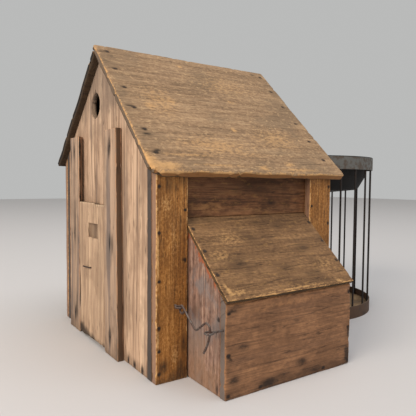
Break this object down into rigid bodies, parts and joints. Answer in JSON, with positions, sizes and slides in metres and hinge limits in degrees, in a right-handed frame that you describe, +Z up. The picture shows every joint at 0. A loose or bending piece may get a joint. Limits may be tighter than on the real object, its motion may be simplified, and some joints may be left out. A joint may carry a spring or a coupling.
{
  "type": "birdhouse",
  "caption": "Weathered wooden house with a pitched roof, sliding door, round entrance, hooked-on lean-to nest box and a round wire cage at its far gable.",
  "frame": {"origin": "middle of the footprint of house, nest box and cage together, on the surface they stand on", "axes": "+X from the door gable to the cage along the ridge, -Y towards the nest box, +Z up"},
  "size_m": [0.5414, 0.4208, 0.418],
  "materials": {
    "grey_pine": "bare weathered grain, matt",
    "varnished_pine": "old worn varnish, satin",
    "dark_pine": "dark stained and worn, matt",
    "box_walnut": "dark reddish stain, worn at edges",
    "cage_pine": "bare board, soiled",
    "rusty_wire": "drawn wire with brown rust",
    "sheet_iron": "blackened sheet with rust",
    "brad_iron": "rusted heads"
  },
  "bodies": {
    "house": {"gable_narrow_board": "grey_pine", "gable_side_board": "grey_pine", "gable_centre_board": "grey_pine", "gable_back_board": "grey_pine", "cage_gable_nest_board": "grey_pine", "cage_gable_centre_board": "grey_pine", "cage_gable_back_board": "grey_pine", "door_batten_nest": "grey_pine", "door_batten_back": "grey_pine", "floor_board": "grey_pine", "corner_board_latch": "varnished_pine", "corner_board_nest_cage": "varnished_pine", "corner_board_back_door": "varnished_pine", "corner_board_back_cage": "varnished_pine", "nest_wall_upper": "dark_pine", "nest_wall_lower": "dark_pine", "back_wall_upper": "dark_pine", "back_wall_lower": "dark_pine", "nest_roof_board": "dark_pine", "back_roof_board": "dark_pine", "cage_floor": "cage_pine", "post_screw_eye": "rusty_wire", "cage_bars": "rusty_wire", "cage_top_hoop": "sheet_iron", "cage_bottom_hoop": "sheet_iron", "corner_brads": "brad_iron", "floor_brads": "brad_iron", "roof_nails": "brad_iron", "batten_nails": "brad_iron", "cage_nails": "brad_iron"},
    "door": {"sliding_door": "grey_pine", "door_pull_nail": "rusty_wire"},
    "nest_box": {"nest_box_left_side": "box_walnut", "nest_box_right_side": "box_walnut", "nest_box_front": "box_walnut", "nest_box_floor": "box_walnut", "nest_box_lid": "box_walnut", "nest_box_brads": "brad_iron", "box_screw_eye": "rusty_wire"},
    "latch": {"latch_hook": "rusty_wire"},
    "pan": {"cage_pan_wall": "sheet_iron", "cage_pan_shoulder": "sheet_iron", "cage_pan_bottom": "sheet_iron"}
  },
  "joints": [
    {"name": "door_slide", "type": "slide", "parent": "house", "child": "door", "axis": [0, 0, 1], "range_m": [0, 0.097]},
    {"name": "nest_box_draw", "type": "slide", "parent": "house", "child": "nest_box", "axis": [0, -1, 0], "range_m": [0, 0.013]},
    {"name": "latch_swing", "type": "hinge", "parent": "house", "child": "latch", "pos_m": [-0.2338, -0.14508, 0.0885], "axis": [-1, 0, 0], "range_deg": [0, 104]},
    {"name": "pan_lift", "type": "slide", "parent": "house", "child": "pan", "axis": [0, 0, 1], "range_m": [0, 0.07]}
  ],
  "couplings": [
    {"joint": "latch_swing", "follows": "nest_box_draw", "rad_per_m": 139.62}
  ]
}
